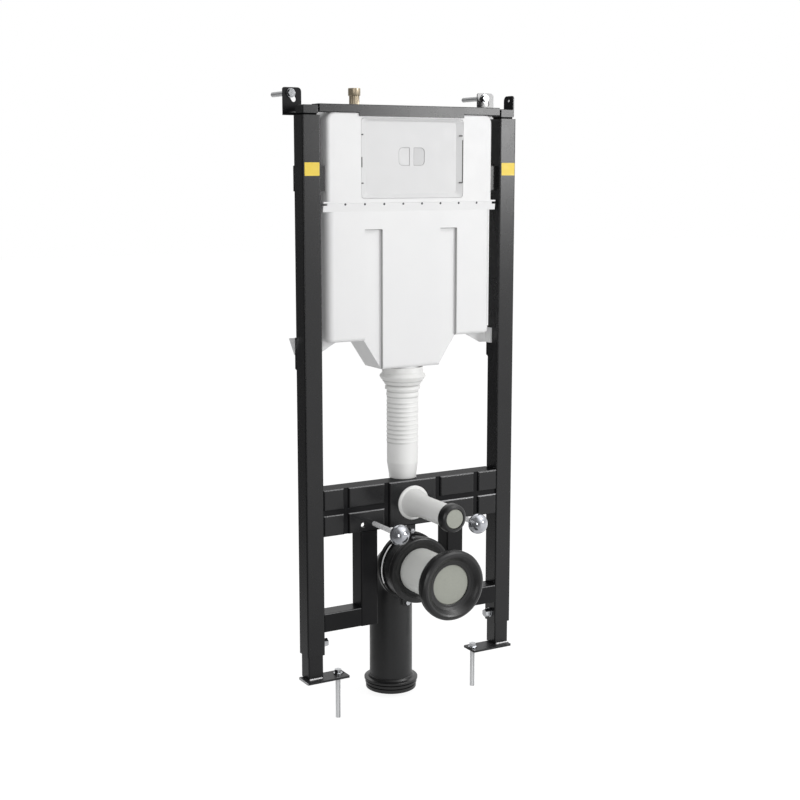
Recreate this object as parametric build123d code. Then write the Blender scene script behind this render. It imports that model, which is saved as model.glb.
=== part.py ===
"""Floor-standing steel frame that carries a concealed cistern, a flush pipe, a waste bend and the
two studs of a wall hung toilet bowl. Millimetres, +Z up, +X to the right seen from the room and
+Y towards the wall. The solids are drawn about the frame's middle plane, with Z = 0 on the floor,
and are moved at export so that the origin lies under the left leg's axis, on its foot plate."""

import os

from build123d import *

os.makedirs("parts", exist_ok=True)

SIDES = {"left": -1, "right": 1}

# Overall frame. The posts are square tube; a leg slides in each and is drawn out part of the way.
FRAME_W = 480
POST_W = 38
POST_D = 40
POST_WALL = 2
POST_R = 3
POST_BOTTOM = 52
POST_TOP = 1108
POST_X = (FRAME_W - POST_W) / 2
POST_INNER = FRAME_W / 2 - POST_W
POST_Y = POST_D / 2
LEG_CLEAR = 0.8
LEG_WALL = 2
LEG_LENGTH = 360

# Axes that the bowl and the pipes follow: studs 180 apart, flush tube 45 and waste tube 90 across.
STUD_WIDTH = 180
SPARE_WIDTH = 230
STUD_Z = 307
FLUSH_Z = 340
FLUSH_R = 22.5
WASTE_Z = 205
WASTE_R = 45

# Floor plates and their anchors.
FOOT_T = 4
FOOT_W = 94
FOOT_D = 43
FOOT_R = 3
FOOT_FRONT = -12.5
FOOT_OUTER = {"left": FRAME_W / 2 + 7, "right": FRAME_W / 2 - 3.5}
ANCHOR_R = 5
ANCHOR_SCREW_R = 4
ANCHOR_SLEEVE_GAP = 1
ANCHOR_CLEAR = 0.5
ANCHOR_HEAD_R = 7.5
ANCHOR_HEAD_T = 7.5
WASHER_R = 9
WASHER_T = 2
ANCHOR_INSET = {"left": 15.5, "right": 10.5}
ANCHOR_Y = 11
ANCHOR_TIP = {"left": -88, "right": -81}
SLOT_INSET = 12
SLOT_LENGTH = 19

# Clamp screws that hold the legs.
SCREW_Z = 71
SCREW_R = 4
SCREW_HEAD_R = 8.5
SCREW_HEAD_T = 6
SCREW_NUT_R = 9.5
SCREW_NUT_T = 6.5
SCREW_FLANGE_R = 10
SCREW_FLANGE_T = 1.5
SCREW_GAP = 0.3
BORE_CLEAR = 0.1

# Inserts in the post tops, and the ear on the right one.
CAP_W = 32
CAP_D = 34
NECK_RISE = 3.5
CAP_H = 15.5
CAP_BOTTOM = POST_TOP + NECK_RISE
CAP_TOP = CAP_BOTTOM + CAP_H
CAP_EDGE = 1.2
PLUG_CLEAR = 0.2
PLUG_DEPTH = 40
PLUG_WALL = 3
CAP_R = 1.5
NECK_INSET = 2
EAR_T = 2.5
EAR_BACK = 37
EAR_RISE = 27
EAR_R_FRONT = 6
EAR_R_BACK = 10
EAR_HOLE_R = 3
EAR_HOLE_DROP = 9.5

# Top bar, a folded strip with a lip over the cistern.
BAR_RISE = 2.5
BAR_SET = 2
BAR_TOP = CAP_TOP + BAR_RISE
BAR_BOTTOM = CAP_BOTTOM + BAR_SET
BAR_FRONT = 3
BAR_HALF = POST_INNER + 0.3
BAR_T = 2.5
BAR_EDGE = 1.5
LIP_HALF = 118
LIP_DROP = 6
LIP_T = 1.8
TONGUE_IN = 20
TONGUE_T = 3
TONGUE_SET = 8
TONGUE_RISE = 2

# Wall brackets and anchors.
PLATE_W = 39
PLATE_SET = 2
PLATE_RISE = 35
PLATE_BOTTOM = CAP_BOTTOM - PLATE_SET
PLATE_TOP = CAP_TOP + PLATE_RISE
PLATE_Y = 78
PLATE_T = 3
PLATE_SHIFT = {"left": 2.5, "right": -4.2}
PLATE_R_OUTER = 4
PLATE_R_INNER = 8
ARM_HALF = 13
ARM_SET = 3
ARM_BOTTOM = CAP_BOTTOM + ARM_SET
ARM_T = 3
BRACKET_SLOT_DROP = 16
BRACKET_SLOT_Z = PLATE_TOP - BRACKET_SLOT_DROP
BRACKET_SLOT = 25
BRACKET_SLOT_W = 10.6
BRACKET_SLOT_TILT = -60
WALL_BOLT_RISE = 5.2
WALL_BOLT_SHIFT = -3
WALL_ANCHOR_REACH = 80
WALL_HEAD_T = 4.5

# Carrier rail: a pressed sheet with raised panels and two flanges.
RAIL_TOP = 386.5
RAIL_BOTTOM = 293
RAIL_T = 2.5
PANEL_RISE = 4.5
PANEL_EDGE = 3
RAIL_BACK = 42
RAIL_LOWER_BACK = 22
GROOVE_W = 11
GROOVE_X = (60, 152)
GROOVE_Z = (335, 345)
PIPE_GAP = 1
TUBE_GAP = 0.5

# Lower frame of the same tube as the posts.
STRUT_X = 101
CROSSBAR_TOP = 136
CROSSBAR_BOTTOM = 98

# Bowl studs and their domed nuts.
STUD_R = 5
STUD_CLEAR = 0.2
STUD_COLLAR_R = 10
STUD_BACK = 14
NUT_Y = -93
STUD_IN_NUT = 16
NUT_BORE_CLEAR = 0.1
NUT_POINTS = [(16, 0), (19.5, -3), (20.5, -9), (19.5, -15), (16, -22), (10, -27), (0, -29)]

# Cistern: two moulded shells that meet on a flange.
TANK_GAP = 15.5
TANK_HALF = POST_INNER - TANK_GAP
TANK_FRONT = 5
LOWER_FRONT = 7
TANK_BACK = 80
TANK_WALL = 3
TANK_RISE = 4
TANK_TOP = BAR_BOTTOM + TANK_RISE
TANK_CORNER = 20
TANK_EDGE = 7
HOLLOW_EDGE = 1
SEAM_DROP = 174.5
SEAM_Z = TANK_TOP - SEAM_DROP
FLANGE_UP = 3.2
FLANGE_DOWN = 16
NOTCH_DROP = 4.5
FLANGE_OUT = 8.5
SEAM_GROOVE = 1
TANK_SHELF = 675
TANK_BASE = 616
CHEST_HALF = 105
NECK_HALF = 66
LOWER_EDGE = 14
BASE_EDGE = 7
CHANNEL_DROP = 51
CHANNEL_TOP = SEAM_Z - CHANNEL_DROP
CHANNEL_DEPTH = 6
OUTLET_R = 34
OUTLET_BORE = 24
OUTLET_DROP = 14

# Lugs of the cistern behind the posts, and the plates on the posts that they rest on.
LUG_FRONT = 44
LUG_T = 4
LUG_DROP = 23
LUG_RISE = 10
LUG_OUT = 11
LUG_KNEE_IN = 16
LUG_START_IN = 60
LUG_LOW = TANK_SHELF - LUG_DROP
LUG_HIGH = TANK_SHELF + LUG_RISE
LUG_TIP = FRAME_W / 2 + LUG_OUT
LUG_KNEE = POST_INNER - LUG_KNEE_IN
LUG_START = POST_INNER - LUG_START_IN
CHEEK_FRONT = 23.5
CHEEK_RISE = 8
CHEEK_TOP = TANK_SHELF + CHEEK_RISE
HANGER_T = 4
HANGER_CHAMFER = 8
HANGER_DROP = 58
HANGER_RISE = 11
HANGER_LOW = (TANK_SHELF - HANGER_DROP, TANK_SHELF + HANGER_RISE)
CLIP_RISE = 23
CLIP_H = 48
CLIP_HEIGHT = (SEAM_Z + CLIP_RISE, SEAM_Z + CLIP_RISE + CLIP_H)
CLIP_T = 2.5
CLIP_FRONT = 13
CLIP_CLEAR = 2
CLIP_INNER = TANK_HALF + CLIP_CLEAR

# Service opening in the cistern's front, closed by a dished cover.
WINDOW_X = 2
WINDOW_W = 231
WINDOW_RISE = 8
WINDOW_DROP = 12.5
WINDOW_BOTTOM = SEAM_Z + WINDOW_RISE
WINDOW_TOP = TANK_TOP - WINDOW_DROP
WINDOW_R = 7
COVER_CLEAR = 0.8
COVER_RIM = 1.6
COVER_LAP = 3
COVER_LAP_T = 2
COVER_BACK = 16
COVER_SET = 0.5
DISH_FLOOR_Y = 11
DISH_HALF = 102
DISH_RISE = 9
DISH_DROP = 6
DISH_BOTTOM = WINDOW_BOTTOM + DISH_RISE
DISH_TOP = WINDOW_TOP - DISH_DROP
BUTTON_W = 25
BUTTON_H = 35
BUTTON_R = 9
BUTTON_GAP = 9
BUTTON_RISE = 81
BUTTON_Z = WINDOW_BOTTOM + BUTTON_RISE
BUTTON_DEPTH = 1.5

# Brass inlet on the cistern's top.
INLET_X = -103
INLET_Y = 52
INLET_R = 10
INLET_RING_R = 12
INLET_BORE = 7
INLET_BORE_DEPTH = 45
INLET_H = 44.5
INLET_RING_H = 15
INLET_TOP = TANK_TOP + INLET_H
INLET_RING_Z = INLET_TOP - INLET_RING_H

# Vertical flush pipe, its nut and the bend behind the rail.
PIPE_Y = 43.5
PIPE_R = 32
PIPE_NECK_R = 28
PIPE_BORE = 24
PIPE_BOTTOM = 392
PIPE_DROP = 38
PIPE_TOP = TANK_BASE - PIPE_DROP
PIPE_TAPER = 26
RIB_COUNT = 10
RIB_LOW = 462
RIB_PITCH = 9
RIB_RISE = 1
RIB_HALF = 2.2
PIPE_RINGS = [(32, -25), (33.2, -22), (33.2, -19), (32.3, -17), (32.3, -11), (36, -9), (36, -4), (33.5, -2)]
FLUSH_NUT_STEPS = [(36, -24), (38, -20), (38, -18.5), (40.5, -17.5), (41, -15), (41, -13.5)]
FLUSH_NUT_RIM = [(44, -12.5), (46.3, -8), (47, -6.5), (46, -4.5)]
FLUSH_NUT_TOP = [(42.5, -1), (41.5, 0), (42, 3), (41.5, 5), (41, 12)]
FLUSH_NUT_CLEAR = 0.3
FLUSH_BEND_R = 32
FLUSH_WALL = 2.2

# Light tube, rubber sleeve and plug in front of the rail.
CONNECTOR_END = -158
CONNECTOR_POINTS = [(35, 0), (35, -2.5), (33, -4), (30, -4.5), (27, -14), (24.5, -28), (22.5, -46)]
SLEEVE_BACK = -142
SLEEVE_CLEAR = 0.1
SLEEVE_POINTS = [(27.5, -142), (28.5, -143.5), (28.5, -152), (27.6, -156), (26, -158.5)]
SLEEVE_NOSE = [(23, -160.5), (20, -161)]
FLUSH_PLUG_R = 18.5
PLUG_RING_CLEAR = 0.3
FLUSH_PLUG_IN = 8
FLUSH_PLUG_OUT = 1.8
FLUSH_PLUG_CROWN = 2.4

# Waste bend with its socket, flange and spigot.
BEND_Y = 93
BEND_R = 69
PIPE_WALL = 3.5
SPIGOT_BOTTOM = -79.5
SPIGOT_LOW = [(51.5, -79.5), (53, -78.5), (53.3, -77.5), (53.3, -71.5), (50.5, -70.5), (50.5, -69)]
SPIGOT_MIDDLE = [(54.2, -68.5), (54.6, -68), (54.6, -63.5), (51.5, -62.5), (51.5, -61)]
SPIGOT_TOP = [(56.5, -60.5), (56.5, -56.7), (55.8, -56), (49, -54.5), (47, -51)]
SPIGOT_SEAT = -50
SOCKET_R = 65
SOCKET_FRONT = -18
LIP_POINTS = [(65, -18), (67, -19), (68, -22), (68, -30), (66.5, -32.2), (64, -33), (58, -32), (50, -28)]
LIP_SEAT = -27
FLANGE_R = 70
FLANGE_Y = (16, 24)
TUBE_FRONT = -142
TUBE_BACK = 20
TUBE_CLEAR = 0.15
COLLAR_BACK = -122
COLLAR_OUTER = [(52, -122), (60, -127), (66, -134), (69, -141), (70, -148), (70, -153), (68.5, -157)]
COLLAR_INNER = [(65, -159.5), (61, -160), (57.5, -158.5), (54, -155.5), (50, -151.5), (45, -148.8)]
COLLAR_NOSE = [(41, -148), (40, -147.5), (40, -145.9), (43.6, -144.2), (43.6, -142.3)]
WASTE_PLUG_IN = 12
WASTE_PLUG_CHAMFER = 3
WASTE_PLUG_POINTS = [(43, 0), (42, -2), (39, -3.5), (30, -4.5), (15, -5.2), (0, -5.4)]

# Ring in front of the waste flange, its ears and bolts.
RING_Y = (8, 12)
RING_R = 68.5
RING_CLEAR = 0.3
EARS = {"top": (1, 279), "bottom": (-9, 129)}
EAR_HALF = 9
EAR_REACH = 7.5
BOLT_R = 3
BOLT_HEAD_R = 5.5
BOLT_HEAD_T = 5


def along_y(radius, y0, y1, x=0.0, z=0.0):
    """Cylinder whose axis runs along Y, from y0 to y1."""
    return Pos(x, (y0 + y1) / 2, z) * Rot(90, 0, 0) * Cylinder(radius, abs(y1 - y0))


def along_x(radius, x0, x1, y=0.0, z=0.0):
    """Cylinder whose axis runs along X, from x0 to x1."""
    return Pos((x0 + x1) / 2, y, z) * Rot(0, 90, 0) * Cylinder(radius, abs(x1 - x0))


def upright(radius, z0, z1, x=0.0, y=0.0):
    """Cylinder whose axis runs along Z, from z0 to z1."""
    return Pos(x, y, (z0 + z1) / 2) * Cylinder(radius, abs(z1 - z0))


def block(x0, x1, y0, y1, z0, z1):
    """Box between two corners, given in any order."""
    middle = Pos((x0 + x1) / 2, (y0 + y1) / 2, (z0 + z1) / 2)
    return middle * Box(abs(x1 - x0), abs(y1 - y0), abs(z1 - z0))


def tube(width, depth, wall, corner, z0, z1):
    """Upright square tube with rounded corners about the Z axis."""
    outer = extrude(RectangleRounded(width, depth, corner), z1 - z0)
    inner_corner = max(corner - wall, 0.5)
    hole = extrude(RectangleRounded(width - 2 * wall, depth - 2 * wall, inner_corner), z1 - z0)
    return Pos(0, 0, z0) * (outer - hole)


def xz_prism(points, y0, y1):
    """Solid with a polygon in XZ, from y0 to y1."""
    face = Plane.XZ * make_face(Polyline(*points, close=True))
    return Pos(0, y1, 0) * extrude(face, y1 - y0)


def xz_panel(width, height, corner, x, y0, y1, z):
    """Rounded rectangle in XZ about (x, z), from y0 to y1."""
    return Pos(x, y1, z) * extrude(Plane.XZ * RectangleRounded(width, height, corner), y1 - y0)


def hexagon_y(radius, y0, y1, x=0.0, z=0.0):
    """Hexagonal prism along Y."""
    return Pos(x, y1, z) * Rot(90, 0, 0) * extrude(RegularPolygon(radius, 6), y1 - y0)


def hexagon_x(radius, x0, x1, y=0.0, z=0.0):
    """Hexagonal prism along X."""
    return Pos(min(x0, x1), y, z) * Rot(0, 90, 0) * extrude(RegularPolygon(radius, 6), abs(x1 - x0))


def spun(profile):
    """Solid of revolution about Z from (radius, height) points."""
    return revolve(Plane.XZ * make_face(Polyline(*profile, close=True)), Axis.Z)


def spun_y(profile, x=0.0, z=0.0):
    """Solid of revolution about a Y axis from (radius, y) points."""
    return Pos(x, 0, z) * Rot(90, 0, 0) * spun([(radius, -y) for radius, y in profile])


def save(name, solid):
    """Writes one node, with the origin moved under the left leg."""
    solid = Pos(POST_X, -POST_Y, 0) * solid
    solid.label = name
    export_step(solid, f"parts/{name}.step")


# Posts, legs, floor plates, anchors and clamp screws.
leg_w = POST_W - 2 * (POST_WALL + LEG_CLEAR)
leg_d = POST_D - 2 * (POST_WALL + LEG_CLEAR)
for side, s in SIDES.items():
    at_post = Pos(s * POST_X, POST_Y, 0)
    post = at_post * tube(POST_W, POST_D, POST_WALL, POST_R, POST_BOTTOM, POST_TOP)
    post -= along_x(SCREW_R + BORE_CLEAR, s * POST_INNER, s * (POST_INNER + POST_WALL), POST_Y, SCREW_Z)
    save(f"post_{side}", post)
    leg = tube(leg_w, leg_d, LEG_WALL, POST_R, FOOT_T, FOOT_T + LEG_LENGTH)
    save(f"leg_{side}", at_post * leg)

    inner_end = FOOT_OUTER[side] - FOOT_W
    plate = extrude(RectangleRounded(FOOT_W, FOOT_D, FOOT_R), FOOT_T)
    plate = Pos(s * (inner_end + FOOT_W / 2), FOOT_FRONT + FOOT_D / 2, 0) * plate
    slot = extrude(SlotOverall(SLOT_LENGTH, 2 * (ANCHOR_R + ANCHOR_CLEAR)), FOOT_T)
    plate -= Pos(s * (inner_end + SLOT_INSET), ANCHOR_Y, 0) * slot
    save(f"foot_plate_{side}", plate)

    anchor_x = s * (inner_end + ANCHOR_INSET[side])
    head_base = FOOT_T + WASHER_T
    anchor = upright(WASHER_R, FOOT_T, head_base, anchor_x, ANCHOR_Y)
    head = extrude(RegularPolygon(ANCHOR_HEAD_R, 6), ANCHOR_HEAD_T)
    anchor += Pos(anchor_x, ANCHOR_Y, head_base) * head
    anchor += upright(ANCHOR_SCREW_R, -ANCHOR_SLEEVE_GAP, FOOT_T, anchor_x, ANCHOR_Y)
    anchor += upright(ANCHOR_R, ANCHOR_TIP[side], -ANCHOR_SLEEVE_GAP, anchor_x, ANCHOR_Y)
    save(f"floor_anchor_{side}", anchor)

    tip = POST_INNER + POST_WALL + LEG_CLEAR - SCREW_GAP
    flange_face = POST_INNER - SCREW_FLANGE_T
    nut_face = flange_face - SCREW_NUT_T
    head_face = nut_face - SCREW_HEAD_T
    screw = along_x(SCREW_R, s * nut_face, s * tip, POST_Y, SCREW_Z)
    screw += along_x(SCREW_FLANGE_R, s * flange_face, s * POST_INNER, POST_Y, SCREW_Z)
    screw += hexagon_x(SCREW_NUT_R, s * nut_face, s * flange_face, POST_Y, SCREW_Z)
    screw += hexagon_x(SCREW_HEAD_R, s * head_face, s * nut_face, POST_Y, SCREW_Z)
    save(f"leg_clamp_screw_{side}", screw)

# Post inserts. A thin neck shows between the post's end and the cap.
for side, s in SIDES.items():
    plug_w = POST_W - 2 * (POST_WALL + PLUG_CLEAR)
    plug_d = POST_D - 2 * (POST_WALL + PLUG_CLEAR)
    insert = tube(plug_w, plug_d, PLUG_WALL, POST_R, POST_TOP - PLUG_DEPTH, POST_TOP)
    lid = extrude(RectangleRounded(plug_w, plug_d, POST_R), PLUG_WALL)
    insert += Pos(0, 0, POST_TOP - PLUG_WALL) * lid
    neck = RectangleRounded(CAP_W - 2 * NECK_INSET, CAP_D - 2 * NECK_INSET, CAP_R)
    insert += Pos(0, 0, POST_TOP) * extrude(neck, CAP_BOTTOM - POST_TOP)
    cap = extrude(RectangleRounded(CAP_W, CAP_D, CAP_R), CAP_TOP - CAP_BOTTOM)
    cap = Pos(0, 0, CAP_BOTTOM) * cap
    insert += chamfer(cap.edges().group_by(Axis.Z)[-1], CAP_EDGE)
    insert = Pos(s * POST_X, POST_Y, 0) * insert
    if side == "right":
        outer = POST_X + CAP_W / 2
        front = POST_Y - CAP_D / 2
        top = CAP_TOP + EAR_RISE
        ear = block(outer - EAR_T, outer, front, EAR_BACK, CAP_BOTTOM + CAP_EDGE, top)
        ear = fillet(ear.edges().filter_by(Axis.X).group_by(Axis.Z)[-1].sort_by(Axis.Y)[-1], EAR_R_BACK)
        ear = fillet(ear.edges().filter_by(Axis.X).group_by(Axis.Z)[-1].sort_by(Axis.Y)[0], EAR_R_FRONT)
        insert += ear - along_x(EAR_HOLE_R, outer - EAR_T, outer, POST_Y, top - EAR_HOLE_DROP)
    save(f"post_insert_{side}", insert)

# Wall brackets. Each plate stands off the insert on an arm and has a slanted slot for its anchor.
for side, s in SIDES.items():
    x = s * (POST_X + PLATE_SHIFT[side])
    plate_x = (x - PLATE_W / 2, x + PLATE_W / 2)
    wall_plate = block(*plate_x, PLATE_Y, PLATE_Y + PLATE_T, PLATE_BOTTOM, PLATE_TOP)
    top_edges = wall_plate.edges().filter_by(Axis.Y).group_by(Axis.Z)[-1].sort_by(Axis.X)
    wall_plate = fillet(top_edges[0], PLATE_R_OUTER)
    top_edges = wall_plate.edges().filter_by(Axis.Y).sort_by(Axis.X)[-2:].sort_by(Axis.Z)
    wall_plate = fillet(top_edges[-1], PLATE_R_INNER)
    slot = Rot(90, 0, 0) * Rot(0, 0, BRACKET_SLOT_TILT) * SlotOverall(BRACKET_SLOT, BRACKET_SLOT_W)
    wall_plate -= Pos(x, PLATE_Y + PLATE_T / 2, BRACKET_SLOT_Z) * extrude(slot, PLATE_T, both=True)
    arm_front = POST_Y + CAP_D / 2
    arm = block(x - ARM_HALF, x + ARM_HALF, arm_front, PLATE_Y, ARM_BOTTOM, ARM_BOTTOM + ARM_T)
    save(f"wall_bracket_{side}", wall_plate + arm)

    bolt_x = x + WALL_BOLT_SHIFT
    bolt_z = BRACKET_SLOT_Z + WALL_BOLT_RISE
    bolt = along_y(WASHER_R, PLATE_Y - WASHER_T, PLATE_Y, bolt_x, bolt_z)
    head_y = PLATE_Y - WASHER_T
    bolt += hexagon_y(ANCHOR_HEAD_R, head_y - WALL_HEAD_T, head_y, bolt_x, bolt_z)
    sleeve_y = PLATE_Y + PLATE_T + ANCHOR_SLEEVE_GAP
    bolt += along_y(ANCHOR_SCREW_R, PLATE_Y, sleeve_y, bolt_x, bolt_z)
    bolt += along_y(ANCHOR_R, sleeve_y, PLATE_Y + WALL_ANCHOR_REACH, bolt_x, bolt_z)
    save(f"wall_anchor_{side}", bolt)

# Top bar: front and top of folded sheet, a lip under the front, a tongue into each insert.
back = POST_Y + CAP_D / 2
bar = block(-BAR_HALF, BAR_HALF, BAR_FRONT, back, BAR_BOTTOM, BAR_TOP)
bar = fillet(bar.edges().filter_by(Axis.X).group_by(Axis.Y)[0], BAR_EDGE)
bar -= block(-BAR_HALF, BAR_HALF, BAR_FRONT + BAR_T, back, BAR_BOTTOM, BAR_TOP - BAR_T)
bar += block(-LIP_HALF, LIP_HALF, BAR_FRONT, BAR_FRONT + LIP_T, BAR_BOTTOM - LIP_DROP, BAR_BOTTOM + BAR_T)
for s in SIDES.values():
    tongue_y = BAR_FRONT + TONGUE_SET
    tongue_x = (s * (BAR_HALF - TONGUE_IN), s * (POST_X - CAP_W / 2))
    tongue_low = CAP_BOTTOM + TONGUE_RISE
    bar += block(*tongue_x, tongue_y, tongue_y + TONGUE_T, tongue_low, BAR_TOP - BAR_T)
save("top_bar", bar)

# Carrier rail: a sheet behind nine raised panels, with flanges along its top and bottom.
half = POST_INNER
sheet = block(-half, half, PANEL_RISE, PANEL_RISE + RAIL_T, RAIL_BOTTOM, RAIL_TOP)
sheet += block(-half, half, PANEL_RISE, RAIL_BACK, RAIL_TOP - RAIL_T, RAIL_TOP)
sheet += block(-half, half, PANEL_RISE, RAIL_LOWER_BACK, RAIL_BOTTOM, RAIL_BOTTOM + RAIL_T)
spans = [(GROOVE_X[0], GROOVE_X[1]), (GROOVE_X[1], half + GROOVE_W / 2)]
panels = [(-GROOVE_X[0], GROOVE_X[0], RAIL_BOTTOM, RAIL_TOP)]
for s in SIDES.values():
    for x0, x1 in spans:
        panels.append((s * x0, s * x1, RAIL_BOTTOM, GROOVE_Z[0]))
        panels.append((s * x0, s * x1, GROOVE_Z[1], RAIL_TOP))
rail = sheet
for x0, x1, z0, z1 in panels:
    x0, x1 = sorted((x0, x1))
    panel = block(x0 + GROOVE_W / 2, x1 - GROOVE_W / 2, 0, PANEL_RISE, z0, z1)
    rail += fillet(panel.edges().group_by(Axis.Y)[0], PANEL_EDGE)
rail -= upright(PIPE_NECK_R + PIPE_GAP, RAIL_TOP - RAIL_T, RAIL_TOP, 0, PIPE_Y)
rail -= along_y(FLUSH_R + TUBE_GAP, 0, RAIL_LOWER_BACK, 0, FLUSH_Z)
for s in SIDES.values():
    for width in (STUD_WIDTH, SPARE_WIDTH):
        rail -= along_y(STUD_R + STUD_CLEAR, 0, RAIL_LOWER_BACK, s * width / 2, STUD_Z)
save("carrier_rail", rail)

# Lower frame under the rail.
strut_outer = STRUT_X + POST_W / 2
for side, s in SIDES.items():
    strut = tube(POST_W, POST_D, POST_WALL, POST_R, CROSSBAR_BOTTOM, RAIL_BOTTOM)
    save(f"strut_{side}", Pos(s * STRUT_X, POST_Y, 0) * strut)
    length = POST_INNER - strut_outer
    cross = Rot(0, 90, 0) * tube(CROSSBAR_TOP - CROSSBAR_BOTTOM, POST_D, POST_WALL, POST_R, 0, length)
    x0 = strut_outer if s > 0 else -POST_INNER
    save(f"crossbar_{side}", Pos(x0, POST_Y, (CROSSBAR_TOP + CROSSBAR_BOTTOM) / 2) * cross)

# Bowl studs with a weld collar behind the rail, and domed nuts.
collar_y = PANEL_RISE + RAIL_T
for side, s in SIDES.items():
    x = s * STUD_WIDTH / 2
    stud = along_y(STUD_R, NUT_Y - STUD_IN_NUT, STUD_BACK, x, STUD_Z)
    save(f"bowl_stud_{side}", stud + along_y(STUD_COLLAR_R, collar_y, STUD_BACK, x, STUD_Z))
    bore = STUD_R + NUT_BORE_CLEAR
    bore_end = -STUD_IN_NUT - NUT_BORE_CLEAR
    dome = [(bore, 0)] + NUT_POINTS + [(0, bore_end), (bore, bore_end)]
    save(f"stud_nut_{side}", spun_y([(r, NUT_Y + y) for r, y in dome], x, STUD_Z))


def tank_shell(half, front, back, z0, z1, corner, edge):
    """Rounded block of the cistern's upper shell."""
    shell = block(-half, half, front, back, z0, z1)
    shell = fillet(shell.edges().filter_by(Axis.Y).group_by(Axis.Z)[-1], corner)
    rim = [e for e in shell.faces().sort_by(Axis.Y)[0].edges() if e.center().Z > z0 + 1]
    return fillet(rim, edge)


def tank_flange(z0, z1, low_front):
    """Flange around the cistern's seam, open inside; its front leans back to low_front at z0."""
    outer = TANK_HALF + FLANGE_OUT
    side = [(low_front, z0), (TANK_BACK, z0), (TANK_BACK, z1), (TANK_FRONT, z1)]
    flange = extrude(Plane.YZ * make_face(Polyline(*side, close=True)), outer, both=True)
    inner = TANK_HALF - LOWER_EDGE
    return flange - block(-inner, inner, LOWER_FRONT + TANK_WALL, TANK_BACK - TANK_WALL, z0, z1)


def seam_groove():
    """Groove along the front of the seam, half of it in each shell."""
    return Pos(0, TANK_FRONT, SEAM_Z) * Rot(45, 0, 0) * Box(FRAME_W, SEAM_GROOVE, SEAM_GROOVE)


# Cistern's upper shell with the service opening.
window_h = WINDOW_TOP - WINDOW_BOTTOM
window_z = (WINDOW_TOP + WINDOW_BOTTOM) / 2
upper = tank_shell(TANK_HALF, TANK_FRONT, TANK_BACK, SEAM_Z, TANK_TOP, TANK_CORNER, TANK_EDGE)
hollow = (TANK_HALF - TANK_WALL, TANK_FRONT + TANK_WALL, TANK_BACK - TANK_WALL, SEAM_Z, TANK_TOP - TANK_WALL)
upper -= tank_shell(*hollow, TANK_CORNER - TANK_WALL, HOLLOW_EDGE)
upper += tank_flange(SEAM_Z, SEAM_Z + FLANGE_UP, TANK_FRONT)
upper -= seam_groove()
window_back = TANK_FRONT + TANK_WALL
upper -= xz_panel(WINDOW_W, window_h, WINDOW_R, WINDOW_X, 0, window_back, window_z)
save("tank_upper", upper)

# Cover: laps the opening from inside, with a dished face and two finger recesses.
lap = (WINDOW_W + 2 * COVER_LAP, window_h + 2 * COVER_LAP)
cover = xz_panel(*lap, WINDOW_R, 0, window_back, window_back + COVER_LAP_T, window_z)
rim = (WINDOW_W - 2 * COVER_CLEAR, window_h - 2 * COVER_CLEAR)
rim_front = TANK_FRONT + COVER_SET
cover += xz_panel(*rim, WINDOW_R, 0, rim_front, COVER_BACK, window_z)
mouth = Plane.XZ * RectangleRounded(rim[0] - COVER_RIM, rim[1] - COVER_RIM, WINDOW_R)
dish_floor = Plane.XZ * RectangleRounded(2 * DISH_HALF, DISH_TOP - DISH_BOTTOM, WINDOW_R)
floor_at = Pos(0, DISH_FLOOR_Y, (DISH_TOP + DISH_BOTTOM) / 2)
cover -= loft([Pos(0, rim_front, window_z) * mouth, floor_at * dish_floor])
for s in SIDES.values():
    button = RectangleRounded(2 * BUTTON_W, BUTTON_H, BUTTON_R)
    button -= Pos(-s * BUTTON_W, 0) * Rectangle(2 * BUTTON_W, BUTTON_H)
    button = Plane.XZ * (Pos(s * BUTTON_GAP / 2, 0) * button)
    cover -= Pos(0, DISH_FLOOR_Y + BUTTON_DEPTH, BUTTON_Z) * extrude(button, BUTTON_DEPTH)
save("access_cover", Pos(WINDOW_X, 0, 0) * cover)


# Cistern's lower shell: chest, tapering neck, two channels in the front, outlet and lugs.
def lower_body(inset, front, back, edge):
    """Chest and neck of the lower shell, inset on every side but the top."""
    half = TANK_HALF - inset
    shelf = TANK_SHELF + inset
    outline = [(-half, SEAM_Z), (-half, shelf), (-CHEST_HALF, shelf), (inset - NECK_HALF, TANK_BASE + inset)]
    outline += [(-x, z) for x, z in reversed(outline)]
    body = xz_prism(outline, front, back)
    uprights = body.edges().filter_by(Axis.Z).group_by(Axis.Y)[0]
    return fillet([e for e in uprights if abs(e.center().X) > CHEST_HALF], edge)


lower = lower_body(0, LOWER_FRONT, TANK_BACK, LOWER_EDGE)
lower_edges = lower.faces().sort_by(Axis.Y)[0].edges()
lower = fillet([e for e in lower_edges if e.center().Z < TANK_SHELF + 1], BASE_EDGE)
cavity = lower_body(TANK_WALL, LOWER_FRONT + TANK_WALL, TANK_BACK - TANK_WALL, LOWER_EDGE - TANK_WALL)
channel_y = LOWER_FRONT + CHANNEL_DEPTH
for s in SIDES.values():
    channel = block(s * NECK_HALF, s * CHEST_HALF, 0, channel_y, TANK_BASE - 1, CHANNEL_TOP)
    lower -= channel
    wall_x = (s * (NECK_HALF - TANK_WALL), s * (CHEST_HALF + TANK_WALL))
    cavity -= block(*wall_x, 0, channel_y + TANK_WALL, TANK_BASE - 1, CHANNEL_TOP + TANK_WALL)
lower -= cavity
lower += tank_flange(SEAM_Z - FLANGE_DOWN, SEAM_Z, LOWER_FRONT)
lower -= seam_groove()
for s in SIDES.values():
    notch_x = (s * TANK_HALF, s * (TANK_HALF + FLANGE_OUT))
    lower -= block(*notch_x, TANK_FRONT, TANK_BACK, SEAM_Z - NOTCH_DROP, SEAM_Z)
lower += upright(OUTLET_R, TANK_BASE - OUTLET_DROP, TANK_BASE + TANK_WALL, 0, PIPE_Y)
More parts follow.
